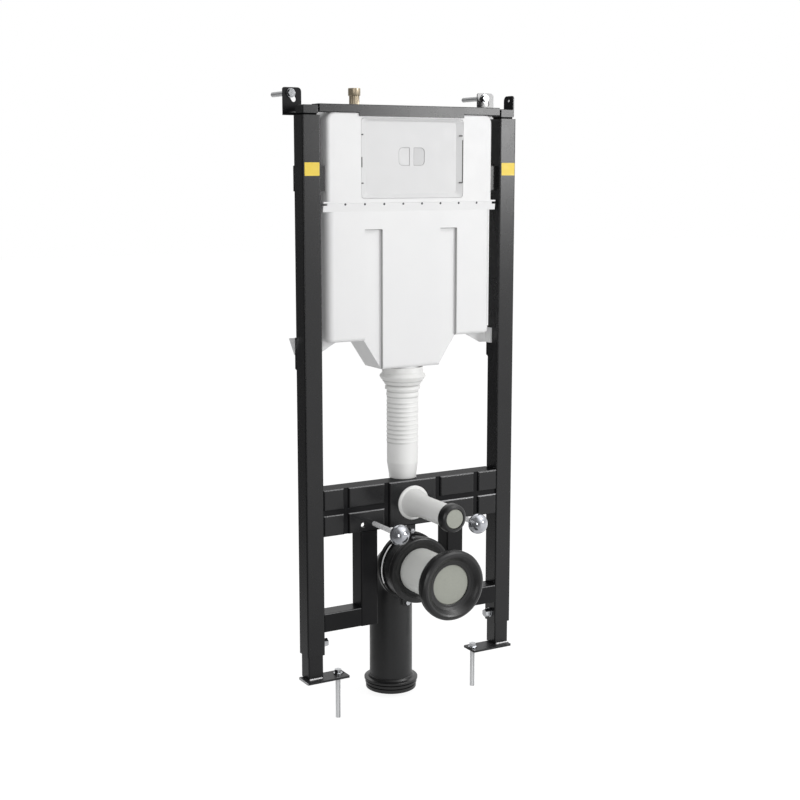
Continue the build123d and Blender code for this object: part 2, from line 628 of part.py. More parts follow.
lower -= upright(OUTLET_BORE, TANK_BASE - OUTLET_DROP, TANK_BASE + 2 * TANK_WALL, 0, PIPE_Y)
for s in SIDES.values():
    lug = [(LUG_START, TANK_SHELF + 1), (LUG_KNEE, LUG_LOW), (POST_INNER + POST_W, LUG_LOW)]
    lug += [(LUG_TIP, LUG_HIGH), (LUG_START, LUG_HIGH)]
    lower += xz_prism([(s * x, z) for x, z in lug], LUG_FRONT, LUG_FRONT + LUG_T)
    cheek_x = (s * (POST_INNER - LUG_T), s * POST_INNER)
    lower += block(*cheek_x, CHEEK_FRONT, LUG_FRONT, LUG_LOW, CHEEK_TOP)
save("tank_lower", lower)

# Plates on the backs of the posts that the cistern's lugs rest on, and higher up a folded clip
# around each post's inner face that keeps the cistern in the middle.
for side, s in SIDES.items():
    hanger = block(s * POST_INNER, s * FRAME_W / 2, POST_D, POST_D + HANGER_T, *HANGER_LOW)
    hanger = chamfer(hanger.edges().filter_by(Axis.Y).group_by(Axis.Z)[0], HANGER_CHAMFER)
    save(f"hanger_lower_{side}", hanger)
    strip = (s * (POST_INNER - CLIP_T), s * POST_INNER)
    clip = block(strip[0], s * FRAME_W / 2, POST_D, POST_D + CLIP_T, *CLIP_HEIGHT)
    clip += block(*strip, CLIP_FRONT, POST_D, *CLIP_HEIGHT)
    clip += block(s * CLIP_INNER, strip[0], CLIP_FRONT, CLIP_FRONT + CLIP_T, *CLIP_HEIGHT)
    save(f"hanger_upper_{side}", clip)

# Brass inlet.
inlet = upright(INLET_R, TANK_TOP, INLET_RING_Z, INLET_X, INLET_Y)
inlet += upright(INLET_RING_R, INLET_RING_Z, INLET_TOP, INLET_X, INLET_Y)
inlet -= upright(INLET_BORE, INLET_TOP - INLET_BORE_DEPTH, INLET_TOP, INLET_X, INLET_Y)
save("inlet_nipple", inlet)

# Flush pipe with its nut, and the bend that leads it through the rail.
outlet_end = TANK_BASE - OUTLET_DROP
nut_bore = OUTLET_R + FLUSH_NUT_CLEAR
nut = [(PIPE_NECK_R, PIPE_TOP - outlet_end)] + FLUSH_NUT_STEPS + FLUSH_NUT_RIM + FLUSH_NUT_TOP
nut += [(nut_bore, FLUSH_NUT_TOP[-1][1]), (nut_bore, 0), (PIPE_NECK_R, 0)]
save("flush_nut", Pos(0, PIPE_Y, outlet_end) * spun(nut))
pipe = [(PIPE_BORE, PIPE_BOTTOM), (PIPE_NECK_R, PIPE_BOTTOM), (PIPE_R, PIPE_BOTTOM + PIPE_TAPER)]
for i in range(RIB_COUNT):
    rib_z = RIB_LOW + i * RIB_PITCH
    pipe += [(PIPE_R, rib_z - RIB_HALF), (PIPE_R + RIB_RISE, rib_z), (PIPE_R, rib_z + RIB_HALF)]
pipe += [(radius, PIPE_TOP + z) for radius, z in PIPE_RINGS]
pipe += [(PIPE_R, PIPE_TOP), (PIPE_BORE, PIPE_TOP)]
save("flush_pipe", Pos(0, PIPE_Y, 0) * spun(pipe))
turn_y = PIPE_Y - FLUSH_BEND_R
turn_z = FLUSH_Z + FLUSH_BEND_R
path = Plane.YZ * CenterArc((turn_y, turn_z), FLUSH_BEND_R, -90, 90)
bend_top = Plane(origin=(0, PIPE_Y, turn_z), z_dir=(0, 0, -1))
bend_bore = PIPE_BORE - FLUSH_WALL
ring = Circle(PIPE_BORE) - Circle(bend_bore)
bend = sweep(bend_top * ring, path)
bend += upright(PIPE_BORE, turn_z, PIPE_BOTTOM, 0, PIPE_Y)
bend -= upright(bend_bore, turn_z, PIPE_BOTTOM, 0, PIPE_Y)
bend += along_y(PIPE_BORE, PANEL_RISE + RAIL_T, turn_y, 0, FLUSH_Z)
bend -= along_y(bend_bore, 0, turn_y, 0, FLUSH_Z)
save("flush_bend", bend)

# Light flush tube in front of the rail, its rubber sleeve and the plug in its end.
bore = FLUSH_R - FLUSH_WALL
back = PANEL_RISE + RAIL_T
connector = [(bore, back), (FLUSH_R, back), (FLUSH_R, 0)] + CONNECTOR_POINTS
connector += [(FLUSH_R, CONNECTOR_END), (bore, CONNECTOR_END)]
save("flush_connector", spun_y(connector, 0, FLUSH_Z))
over_tube = FLUSH_R + SLEEVE_CLEAR
over_plug = FLUSH_PLUG_R + PLUG_RING_CLEAR
sleeve = [(over_tube, SLEEVE_BACK)] + SLEEVE_POINTS + SLEEVE_NOSE
sleeve += [(over_plug, CONNECTOR_END), (over_tube, CONNECTOR_END)]
save("flush_sleeve", spun_y(sleeve, 0, FLUSH_Z))
in_bore = bore - SLEEVE_CLEAR
plug_back = CONNECTOR_END + FLUSH_PLUG_IN
plug = [(0, plug_back), (in_bore, plug_back), (in_bore, CONNECTOR_END)]
plug += [(FLUSH_PLUG_R, CONNECTOR_END), (FLUSH_PLUG_R, CONNECTOR_END - FLUSH_PLUG_OUT)]
plug += [(0, CONNECTOR_END - FLUSH_PLUG_CROWN)]
save("flush_plug", spun_y(plug, 0, FLUSH_Z))

# Waste bend: one moulded pipe with a socket towards the room and a flange around it.
inner_r = WASTE_R - PIPE_WALL
arc_y = BEND_Y - BEND_R
arc_z = WASTE_Z - BEND_R
path = Plane.YZ * CenterArc((arc_y, arc_z), BEND_R, 0, 90)
start = Plane(origin=(0, BEND_Y, arc_z), z_dir=(0, 0, 1))
bend = sweep(start * Circle(WASTE_R), path)
bend += upright(WASTE_R, SPIGOT_BOTTOM, arc_z, 0, BEND_Y)
bend += along_y(SOCKET_R, SOCKET_FRONT, arc_y, 0, WASTE_Z)
bend += along_y(FLANGE_R, *FLANGE_Y, 0, WASTE_Z)
for x, z in EARS.values():
    away = 1 if z > WASTE_Z else -1
    bend += block(x - EAR_HALF, x + EAR_HALF, *FLANGE_Y, z + away * EAR_REACH, WASTE_Z)
    bend -= along_y(BOLT_R + BORE_CLEAR, *FLANGE_Y, x, z)
bend -= sweep(start * Circle(inner_r), path)
bend -= upright(inner_r, SPIGOT_BOTTOM, arc_z, 0, BEND_Y)
bend -= along_y(WASTE_R + TUBE_CLEAR, SOCKET_FRONT, TUBE_BACK, 0, WASTE_Z)
bend -= along_y(inner_r, TUBE_BACK, arc_y, 0, WASTE_Z)
save("waste_bend", bend)

# Rings around the spigot and the lip of the socket.
seat = WASTE_R + TUBE_CLEAR
rings = [(seat, SPIGOT_BOTTOM)] + SPIGOT_LOW + SPIGOT_MIDDLE + SPIGOT_TOP + [(seat, SPIGOT_SEAT)]
save("waste_spigot_rings", Pos(0, BEND_Y, 0) * spun(rings))
lip = [(seat, SOCKET_FRONT)] + LIP_POINTS + [(seat, LIP_SEAT)]
save("waste_socket_ring", spun_y(lip, 0, WASTE_Z))

# Grey waste tube, the rubber collar at its mouth and the plug in it.
waste_tube = along_y(WASTE_R, TUBE_FRONT, TUBE_BACK - TUBE_CLEAR, 0, WASTE_Z)
waste_tube -= along_y(inner_r, TUBE_FRONT, TUBE_BACK, 0, WASTE_Z)
save("waste_tube", waste_tube)
collar = [(seat, COLLAR_BACK)] + COLLAR_OUTER + COLLAR_INNER + COLLAR_NOSE
collar += [(seat, TUBE_FRONT - TUBE_CLEAR)]
save("waste_collar", spun_y(collar, 0, WASTE_Z))
plug_seat = inner_r - TUBE_CLEAR
plug = [(0, WASTE_PLUG_IN), (plug_seat - WASTE_PLUG_CHAMFER, WASTE_PLUG_IN)]
plug += [(plug_seat, WASTE_PLUG_IN - WASTE_PLUG_CHAMFER), (plug_seat, 0)] + WASTE_PLUG_POINTS
save("waste_plug", spun_y([(radius, TUBE_FRONT + y) for radius, y in plug], 0, WASTE_Z))

# Ring that hangs the waste flange on the rail, with a bolt through each pair of ears.
clamp = along_y(RING_R, *RING_Y, 0, WASTE_Z)
for name, (x, z) in EARS.items():
    end = RAIL_BOTTOM if name == "top" else z - EAR_REACH
    clamp += block(x - EAR_HALF, x + EAR_HALF, *RING_Y, end, WASTE_Z)
    clamp -= along_y(BOLT_R + BORE_CLEAR, *RING_Y, x, z)
clamp -= along_y(SOCKET_R + RING_CLEAR, *RING_Y, 0, WASTE_Z)
save("pipe_clamp", clamp)
for name, (x, z) in EARS.items():
    bolt = hexagon_y(BOLT_HEAD_R, RING_Y[0] - BOLT_HEAD_T, RING_Y[0], x, z)
    bolt += along_y(BOLT_R, RING_Y[0], FLANGE_Y[1], x, z)
    bolt += hexagon_y(BOLT_HEAD_R, FLANGE_Y[1], FLANGE_Y[1] + BOLT_HEAD_T, x, z)
    save(f"clamp_bolt_{name}", bolt)
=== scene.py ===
"""Looks of a wall hung toilet frame: powder coated steel posts and rail, a white cistern, its flush
and waste pipes, chrome nuts and the small fittings. Metres, in the same frame as the solids."""

import math

import bmesh
import bpy
from mathutils import Matrix, Vector


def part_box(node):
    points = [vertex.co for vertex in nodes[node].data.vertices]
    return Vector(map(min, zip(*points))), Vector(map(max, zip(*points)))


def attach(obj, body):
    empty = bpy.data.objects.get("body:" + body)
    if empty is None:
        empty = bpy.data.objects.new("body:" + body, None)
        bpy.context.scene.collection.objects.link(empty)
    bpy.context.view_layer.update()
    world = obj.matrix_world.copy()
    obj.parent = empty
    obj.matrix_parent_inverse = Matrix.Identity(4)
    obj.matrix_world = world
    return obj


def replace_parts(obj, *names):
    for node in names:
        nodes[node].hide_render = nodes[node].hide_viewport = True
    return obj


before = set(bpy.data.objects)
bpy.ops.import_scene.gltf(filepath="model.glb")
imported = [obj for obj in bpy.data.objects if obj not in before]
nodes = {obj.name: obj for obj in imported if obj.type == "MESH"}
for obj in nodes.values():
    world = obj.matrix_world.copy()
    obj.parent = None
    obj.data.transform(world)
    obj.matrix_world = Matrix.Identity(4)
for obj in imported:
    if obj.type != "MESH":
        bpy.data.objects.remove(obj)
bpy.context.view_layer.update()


# Posts and legs: square steel tube with a leg sliding in each post, powder coated satin black.
# The coat has a fine orange peel and is a little greyer where it has been handled.
COAT, COAT_WORN = (0.0080, 0.0080, 0.0088), (0.0105, 0.0105, 0.0113)
COAT_ROUGH, COAT_SHINE = 0.27, 0.36
COAT_SMOOTHER, COAT_ROUGHER = 0.006, 0.010


def surface(mat):
    """Sockets of a material's shader."""
    return mat.node_tree.nodes["Principled BSDF"].inputs


def coordinates(mat):
    """Object coordinates, on which every pattern is laid."""
    return mat.node_tree.nodes["Texture Coordinate"].outputs["Object"]


def finish(name, metallic=0.0, specular=0.5):
    """New material, still without its colour, roughness and bump."""
    mat = bpy.data.materials.new(name)
    mat.use_nodes = True
    mat.node_tree.nodes.new("ShaderNodeTexCoord")
    surface(mat)["Metallic"].default_value = metallic
    surface(mat)["Specular IOR Level"].default_value = specular
    return mat


def clouds(mat, per_metre, detail=3.0):
    """Soft irregular pattern, with a given number of patches per metre."""
    noise = mat.node_tree.nodes.new("ShaderNodeTexNoise")
    noise.inputs["Scale"].default_value = per_metre
    noise.inputs["Detail"].default_value = detail
    mat.node_tree.links.new(coordinates(mat), noise.inputs["Vector"])
    return noise.outputs["Fac"]


def remap(mat, value, low, high, start=0.3, end=0.7):
    """Stretches a value that goes from start to end, a pattern's middle values if left out."""
    node = mat.node_tree.nodes.new("ShaderNodeMapRange")
    for label, number in (("From Min", start), ("From Max", end), ("To Min", low), ("To Max", high)):
        node.inputs[label].default_value = number
    mat.node_tree.links.new(value, node.inputs["Value"])
    return node.outputs["Result"]


def tint(mat, share, first, second):
    """Base colour that goes from first to second as share goes from 0 to 1."""
    mix = mat.node_tree.nodes.new("ShaderNodeMix")
    mix.data_type = "RGBA"
    mix.inputs["A"].default_value = (*first, 1)
    mix.inputs["B"].default_value = (*second, 1)
    mat.node_tree.links.new(share, mix.inputs["Factor"])
    mat.node_tree.links.new(mix.outputs["Result"], surface(mat)["Base Color"])


def gloss(mat, pattern, low, high):
    """Roughness that follows a pattern between low and high."""
    mat.node_tree.links.new(remap(mat, pattern, low, high), surface(mat)["Roughness"])


def grain(mat, height, depth, strength):
    """Bump from a height pattern, depth in metres."""
    bump = mat.node_tree.nodes.new("ShaderNodeBump")
    bump.inputs["Strength"].default_value = strength
    bump.inputs["Distance"].default_value = depth
    mat.node_tree.links.new(height, bump.inputs["Height"])
    mat.node_tree.links.new(bump.outputs["Normal"], surface(mat)["Normal"])


def powder_coat(name, colour=COAT, worn=COAT_WORN, roughness=COAT_ROUGH, specular=COAT_SHINE):
    """Satin powder coat with orange peel and slightly greyer handled areas."""
    mat = finish(name, specular=specular)
    tint(mat, remap(mat, clouds(mat, per_metre=14), 0, 1), colour, worn)
    gloss(mat, clouds(mat, per_metre=30), low=roughness - COAT_SMOOTHER, high=roughness + COAT_ROUGHER)
    grain(mat, clouds(mat, per_metre=700, detail=2), depth=0.00001, strength=0.3)
    return mat


def dress(mat, *names):
    """Gives solids their finish."""
    for name in names:
        for held in nodes[name].material_slots:
            held.material = mat


def both(*parts):
    """Names of the left and the right one of each part."""
    return [f"{part}_{side}" for part in parts for side in ("left", "right")]


coat = powder_coat("powder_coat")
dress(coat, *both("post", "leg"))


# Patches: plain yellow film on the fronts of both posts, with rounded corners.
# They are a third of a millimetre thick and lie flat on the coat.
PATCH_SPANS = {"left": (-0.0156, 0.0155), "right": (0.4270, 0.4585)}
PATCH_LOW, PATCH_HIGH, PATCH_T, PATCH_R = 0.9952, 1.0202, 0.0003, 0.0012
CORNER_STEP, CORNER_STEPS, SAME_PLACE = 22.5, 5, 1e-7
patch_yellow = finish("patch_yellow")
tint(patch_yellow, clouds(patch_yellow, per_metre=60), (0.80, 0.60, 0.062), (0.72, 0.52, 0.042))
gloss(patch_yellow, clouds(patch_yellow, per_metre=90), low=0.34, high=0.5)
grain(patch_yellow, clouds(patch_yellow, per_metre=250, detail=2), depth=0.00003, strength=0.3)


def closed_mesh(name, bm):
    """Mesh of a closed shape, its faces turned outwards."""
    bmesh.ops.recalc_face_normals(bm, faces=bm.faces)
    mesh = bpy.data.meshes.new(name)
    bm.to_mesh(mesh)
    bm.free()
    return mesh


def thickened(bm, ring, thickness):
    """Fills a ring of points and draws the plate out towards the room."""
    made = bmesh.ops.extrude_face_region(bm, geom=[bm.faces.new(ring)])
    front = [item for item in made["geom"] if isinstance(item, bmesh.types.BMVert)]
    bmesh.ops.translate(bm, verts=front, vec=(0, -thickness, 0))


def film(name, span, height, back, thickness, corner, rim=0.0):
    """Rounded plate over a span of X and of Z, its front edge eased by rim."""
    bm = bmesh.new()
    (x0, x1), (z0, z1) = (span[0] + corner, span[1] - corner), (height[0] + corner, height[1] - corner)
    ring = []
    for cx, cz, start in ((x1, z1, 0), (x0, z1, 90), (x0, z0, 180), (x1, z0, 270)):
        for step in range(CORNER_STEPS):
            a = math.radians(start + CORNER_STEP * step)
            ring.append(bm.verts.new((cx + corner * math.cos(a), back, cz + corner * math.sin(a))))
    thickened(bm, ring, thickness)
    if rim:
        front = back - thickness
        edges = [e for e in bm.edges if all(abs(v.co.y - front) < SAME_PLACE for v in e.verts)]
        bmesh.ops.bevel(bm, geom=edges, offset=rim, segments=2, affect="EDGES")
    return closed_mesh(name, bm)


def add_piece(name, mesh, mat, body, smooth_below=None):
    """Object of a finished mesh, at the origin, riding on its body."""
    if smooth_below is not None:
        mesh.shade_smooth()
        mesh.set_sharp_from_angle(angle=math.radians(smooth_below))
    if not mesh.materials:
        mesh.materials.append(mat)
    piece = bpy.data.objects.new(name, mesh)
    bpy.context.scene.collection.objects.link(piece)
    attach(piece, body)
    return piece


for side, span in PATCH_SPANS.items():
    post_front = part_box(f"post_{side}")[0].y
    patch = film(f"patch_{side}", span, (PATCH_LOW, PATCH_HIGH), post_front, PATCH_T, PATCH_R)
    add_piece(f"patch_{side}", patch, patch_yellow, "frame")


# Foot plates: flat steel bar under the legs, coated like them but duller from the floor's dust.
# Each is joined to its leg by a weld along the front, ground bright and left uncoated. A painted
# highlight runs along the left plate's outer edge.
PLATE_COAT, PLATE_DUST, PLATE_ROUGH = (0.009, 0.009, 0.010), (0.017, 0.017, 0.019), 0.42
# A light grey stands in for painted highlights here and on the crossbars and the rail.
PLATE_HIGHLIGHT_EDGE = 0.0012
HIGHLIGHT_GREY = (0.42, 0.42, 0.43)
WELDS = {"left": (-0.0135, 0.0118), "right": (0.4295, 0.4585)}
WELD_Y, WELD_Z, WELD_R, WELD_STEP = -0.0182, 0.0047, 0.0019, 0.0013
WELD_SMALLEST, WELD_LARGEST, WELD_SEED = 0.85, 1.15, 3
weld_metal = finish("weld_metal", metallic=0.25)
tint(weld_metal, clouds(weld_metal, per_metre=500), (0.86, 0.86, 0.86), (0.66, 0.66, 0.67))
gloss(weld_metal, clouds(weld_metal, per_metre=900), low=0.3, high=0.5)
grain(weld_metal, clouds(weld_metal, per_metre=2500, detail=2), depth=0.0001, strength=0.5)


def split(mat):
    """X, Y and Z of a place on the piece."""
    apart = mat.node_tree.nodes.new("ShaderNodeSeparateXYZ")
    mat.node_tree.links.new(coordinates(mat), apart.inputs[0])
    return apart.outputs


def reckon(owner, operation, *values):
    """Math node on patterns and plain numbers, in a material or the world."""
    node = owner.node_tree.nodes.new("ShaderNodeMath")
    node.operation = operation
    for socket, value in zip(node.inputs, values):
        if isinstance(value, (int, float)):
            socket.default_value = value
        else:
            owner.node_tree.links.new(value, socket)
    return node.outputs[0]


def overlay(mat, share, colour):
    """Lays a colour over the base colour as share goes from 0 to 1."""
    under = surface(mat)["Base Color"].links[0].from_socket
    tint(mat, share, colour, colour)
    mat.node_tree.links.new(under, surface(mat)["Base Color"].links[0].from_node.inputs["A"])


def wired(tree, *pairs):
    """Links each source to its target."""
    for source, target in pairs:
        tree.links.new(source, target)


def node_tree(name, *inputs):
    """Empty geometry tree with named inputs and one geometry output."""
    tree = bpy.data.node_groups.new(name, "GeometryNodeTree")
    tree.interface.new_socket("Geometry", in_out="OUTPUT", socket_type="NodeSocketGeometry")
    for label, kind in inputs:
        tree.interface.new_socket(label, in_out="INPUT", socket_type=f"NodeSocket{kind}")
    return tree, tree.nodes.new("NodeGroupInput").outputs, tree.nodes.new("NodeGroupOutput").inputs


def grow(tree, shape, mat, outlet):
    """Ends a tree: instances made real, then given their finish."""
    real = tree.nodes.new("GeometryNodeRealizeInstances")
    smooth = tree.nodes.new("GeometryNodeSetShadeSmooth")
    coated = tree.nodes.new("GeometryNodeSetMaterial")
    coated.inputs["Material"].default_value = mat
    wired(tree, (shape, real.inputs[0]), (real.outputs[0], smooth.inputs["Geometry"]),
          (smooth.outputs[0], coated.inputs["Geometry"]), (coated.outputs[0], outlet["Geometry"]))


def grown(name, tree, **sizes):
    """Plain mesh of a tree with its sizes set."""
    carrier = bpy.data.objects.new(name, bpy.data.meshes.new(name))
    bpy.context.scene.collection.objects.link(carrier)
    modifier = carrier.modifiers.new("grow", "NODES")
    modifier.node_group = tree
    for item in tree.interface.items_tree:
        if item.in_out == "INPUT":
            modifier[item.identifier] = sizes[item.name.lower()]
    bpy.context.view_layer.update()
    evaluated = carrier.evaluated_get(bpy.context.evaluated_depsgraph_get())
    mesh = bpy.data.meshes.new_from_object(evaluated)
    carrier.modifiers.clear()
    bpy.data.objects.remove(carrier)
    return mesh


plate_coat = powder_coat("plate_coat", PLATE_COAT, PLATE_DUST, PLATE_ROUGH)
plate_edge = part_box("foot_plate_left")[0].x + PLATE_HIGHLIGHT_EDGE
# Painted highlight along the left plate's outer edge.
overlay(plate_coat, reckon(plate_coat, "LESS_THAN", split(plate_coat)["X"], plate_edge), HIGHLIGHT_GREY)
dress(plate_coat, *both("foot_plate"))

weld_tree, size, outlet = node_tree(
    "weld", ("Count", "Int"), ("First", "Vector"), ("Step", "Vector"), ("Radius", "Float"), ("Seed", "Int"))
line = weld_tree.nodes.new("GeometryNodeMeshLine")
ripple = weld_tree.nodes.new("GeometryNodeMeshIcoSphere")
ripple.inputs["Subdivisions"].default_value = 2
spread = weld_tree.nodes.new("FunctionNodeRandomValue")
spread.data_type = "FLOAT"
spread.inputs[2].default_value = WELD_SMALLEST
spread.inputs[3].default_value = WELD_LARGEST
laid = weld_tree.nodes.new("GeometryNodeInstanceOnPoints")
wired(weld_tree,
      (size["Count"], line.inputs["Count"]), (size["First"], line.inputs["Start Location"]),
      (size["Step"], line.inputs["Offset"]), (size["Radius"], ripple.inputs["Radius"]),
      (size["Seed"], spread.inputs["Seed"]), (line.outputs[0], laid.inputs["Points"]),
      (ripple.outputs[0], laid.inputs["Instance"]), (spread.outputs[1], laid.inputs["Scale"]))
grow(weld_tree, laid.outputs[0], weld_metal, outlet)
for side, (x0, x1) in WELDS.items():
    bead = grown(f"weld_{side}", weld_tree, count=round((x1 - x0) / WELD_STEP) + 1,
                 first=(x0, WELD_Y, WELD_Z), step=(WELD_STEP, 0, 0), radius=WELD_R, seed=WELD_SEED)
    add_piece(f"weld_{side}", bead, weld_metal, f"foot_{side}")


# Floor and wall anchors: zinc plated screws in grey nylon wall plugs, with a washer under the head.
# The plug is split lengthwise, so that the screw spreads it in its hole. The wall pair is painted
# darker, as painted shade.
ZINC, ZINC_DULL, ZINC_ROUGH = (0.60, 0.61, 0.63), (0.42, 0.43, 0.44), 0.25
ZINC_SMOOTHER, ZINC_ROUGHER = 0.05, 0.06
PLUG_GREY, PLUG_DARK = (0.76, 0.77, 0.78), (0.16, 0.16, 0.165)
PLUG_SLIT = 0.0006
FLOOR_PLUG_TOP = -0.0008
WALL_ZINC_SHADE, WALL_PLUG_SHADE = 0.4, 0.7


def zinc(name, colour=ZINC, dull=ZINC_DULL, roughness=ZINC_ROUGH):
    """Bright zinc plating, slightly uneven in tone."""
    mat = finish(name, metallic=1.0)
    tint(mat, remap(mat, clouds(mat, per_metre=90), 0, 1), colour, dull)
    gloss(mat, clouds(mat, per_metre=200), low=roughness - ZINC_SMOOTHER, high=roughness + ZINC_ROUGHER)
    grain(mat, clouds(mat, per_metre=1500, detail=2), depth=0.00002, strength=0.3)
    return mat


def darker(colour, share):
    """Colour scaled down by share, as painted shade."""
    return [share * part for part in colour]


def zinc_in_plug(name, along, mouth, across, middle, zinc_shade=1.0, plug_shade=1.0):
    """Zinc screw up to the plug's mouth, nylon further down or back, with a dark slit along it."""
    # The shares darken the screw and the plug as painted shade.
    mat = zinc(name, darker(ZINC, zinc_shade), darker(ZINC_DULL, zinc_shade))
    at = split(mat)
    plug = reckon(mat, "LESS_THAN" if along == "Z" else "GREATER_THAN", at[along], mouth)
    slit = reckon(mat, "COMPARE", at[across], middle, PLUG_SLIT)
    overlay(mat, plug, darker(PLUG_GREY, plug_shade))
    overlay(mat, reckon(mat, "MULTIPLY", plug, slit), PLUG_DARK)
    mat.node_tree.links.new(reckon(mat, "SUBTRACT", 1.0, plug), surface(mat)["Metallic"])
    return mat


def middle_of(name):
    """Middle of a solid's box."""
    low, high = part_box(name)
    return (low + high) / 2


for side in ("left", "right"):
    anchor = f"floor_anchor_{side}"
    dress(zinc_in_plug(f"floor_plug_{side}", "Z", FLOOR_PLUG_TOP, "X", middle_of(anchor).x), anchor)
    anchor = f"wall_anchor_{side}"
    plate_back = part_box(f"wall_bracket_{side}")[1].y
    dress(zinc_in_plug(f"wall_plug_{side}", "Y", plate_back, "Z", middle_of(anchor).z, WALL_ZINC_SHADE, WALL_PLUG_SHADE),
          anchor)


# Struts and crossbars: the same tube as the posts, welded under the rail, in a duller coat.
# The crossbars' upper front edges carry a painted highlight.
STRUT_ROUGH, STRUT_SHINE = 0.30, 0.16
CROSSBAR_EDGE, CROSSBAR_HIGHLIGHT = 0.0016, 0.45
dress(powder_coat("strut_coat", roughness=STRUT_ROUGH, specular=STRUT_SHINE), *both("strut"))
crossbar_coat = powder_coat("crossbar_coat", roughness=STRUT_ROUGH, specular=STRUT_SHINE)
low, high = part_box("crossbar_left")
at = split(crossbar_coat)
# Painted highlight along the upper front edge of each crossbar.
upper = reckon(crossbar_coat, "GREATER_THAN", at["Z"], high.z - CROSSBAR_EDGE)
front = reckon(crossbar_coat, "LESS_THAN", at["Y"], low.y + CROSSBAR_EDGE)
highlight_share = reckon(crossbar_coat, "MULTIPLY", reckon(crossbar_coat, "MULTIPLY", upper, front), CROSSBAR_HIGHLIGHT)
overlay(crossbar_coat, highlight_share, HIGHLIGHT_GREY)
dress(crossbar_coat, *both("crossbar"))


# Leg clamp screws: zinc plated set screws, each with a flange nut against the post.
# They press on the telescopic leg from the inner side.
bright_zinc = zinc("bright_zinc")
dress(bright_zinc, *both("leg_clamp_screw"))


# Post inserts: moulded caps with a coated face, one of them with an ear for a tie.
# They close the post tops and take the tongues of the top bar. Their sunk necks are matt.
NECK_TOP = 1.1116
insert_coat = powder_coat("insert_coat")
shine = reckon(insert_coat, "GREATER_THAN", split(insert_coat)["Z"], NECK_TOP)
shine = reckon(insert_coat, "MULTIPLY", shine, COAT_SHINE)
insert_coat.node_tree.links.new(shine, surface(insert_coat)["Specular IOR Level"])
dress(insert_coat, *both("post_insert"))


# Wall brackets: bent flat steel with a slanted slot, each bolted to the wall through its slot.
# The right one has a lighter, glossier coat, a painted reflection; the left one a duller one.
BRACKET_LIT_COAT, BRACKET_LIT_WORN = (0.014, 0.014, 0.015), (0.021, 0.021, 0.023)
BRIGHT_ROUGH, BRIGHT_SHINE = 0.2, 0.47
DULL_ROUGH, DULL_SHINE = 0.3, 0.10
# The right bracket's lighter coat is a painted reflection of the lamp.
dress(powder_coat("bracket_lit_coat", BRACKET_LIT_COAT, BRACKET_LIT_WORN, BRIGHT_ROUGH, BRIGHT_SHINE), "wall_bracket_right")
dress(powder_coat("bracket_dull", roughness=DULL_ROUGH, specular=DULL_SHINE), "wall_bracket_left")


# Hanger plates and clips: cut and folded sheet steel, welded to the posts, in the same coat.
# The cistern's lugs rest on the lower ones.
dress(coat, *both("hanger_upper", "hanger_lower"))


# Top bar: folded sheet steel with a lip over the cistern, in the same coat.
# It is plugged into both post inserts.
dress(coat, "top_bar")


# Carrier rail: pressed sheet steel with raised panels, welded between the posts and coated.
# The bowl's studs and the pipes pass through it. The panels' upper edges carry a painted highlight,
# stronger to the right, and the coat in the grooves and on the flanges is dull.
RAIL_COAT, RAIL_WORN, RAIL_ROUGH = (0.0070, 0.0070, 0.0078), (0.0100, 0.0100, 0.0108), 0.22
RAIL_SHINE, RAIL_PANEL, RAIL_GROOVE, RAIL_FLANGE = 0.32, 0.36, 0.12, 0.1
RAIL_ROUND, RAIL_SKIN = 0.0028, 0.0003
RAIL_MIDDLE, RAIL_MIDDLE_HALF = 0.2210, 0.0600
RAIL_LOWER_EDGE, RAIL_UPPER_EDGE, RAIL_EDGE_HALF = 0.3345, 0.3860, 0.0011
HIGHLIGHT_UPPER, HIGHLIGHT_FROM, HIGHLIGHT_TO, HIGHLIGHT_FROM_X, HIGHLIGHT_TO_X = 0.3, 0.35, 1.0, 0.12, 0.30
rail_coat = powder_coat("rail_coat", RAIL_COAT, RAIL_WORN, RAIL_ROUGH, RAIL_SHINE)
low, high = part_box("carrier_rail")
at = split(rail_coat)
raised = reckon(rail_coat, "LESS_THAN", at["Y"], low.y + RAIL_ROUND)
shine = reckon(rail_coat, "MULTIPLY_ADD", raised, RAIL_PANEL - RAIL_GROOVE, RAIL_GROOVE)
flange = reckon(rail_coat, "GREATER_THAN", at["Z"], high.z - RAIL_SKIN)
shine = reckon(rail_coat, "MULTIPLY", shine, remap(rail_coat, flange, 1.0, RAIL_FLANGE, 0.0, 1.0))
rail_coat.node_tree.links.new(shine, surface(rail_coat)["Specular IOR Level"])
# Painted highlight on the panels' upper edges, stronger to the right.
plain = reckon(rail_coat, "COMPARE", at["X"], RAIL_MIDDLE, RAIL_MIDDLE_HALF)
lower = reckon(rail_coat, "COMPARE", at["Z"], RAIL_LOWER_EDGE, RAIL_EDGE_HALF)
upper = reckon(rail_coat, "COMPARE", at["Z"], RAIL_UPPER_EDGE, RAIL_EDGE_HALF)
lower = reckon(rail_coat, "MULTIPLY", lower, reckon(rail_coat, "SUBTRACT", 1.0, plain))
more = remap(rail_coat, at["X"], HIGHLIGHT_FROM, HIGHLIGHT_TO, HIGHLIGHT_FROM_X, HIGHLIGHT_TO_X)
lower = reckon(rail_coat, "MULTIPLY", lower, more)
highlight_share = reckon(rail_coat, "MAXIMUM", lower, reckon(rail_coat, "MULTIPLY", upper, HIGHLIGHT_UPPER))
overlay(rail_coat, reckon(rail_coat, "MULTIPLY", highlight_share, raised), HIGHLIGHT_GREY)
dress(rail_coat, "carrier_rail")


# Pipe clamp: a cut steel ring that hangs the waste flange on the rail, with two zinc plated bolts.
# A painted highlight runs along its left edge, as a thin near-white arc.
ARC_FROM, ARC_SWEEP, ARC_R, ARC_WIRE = math.radians(133), math.radians(70), 0.0690, 0.0014
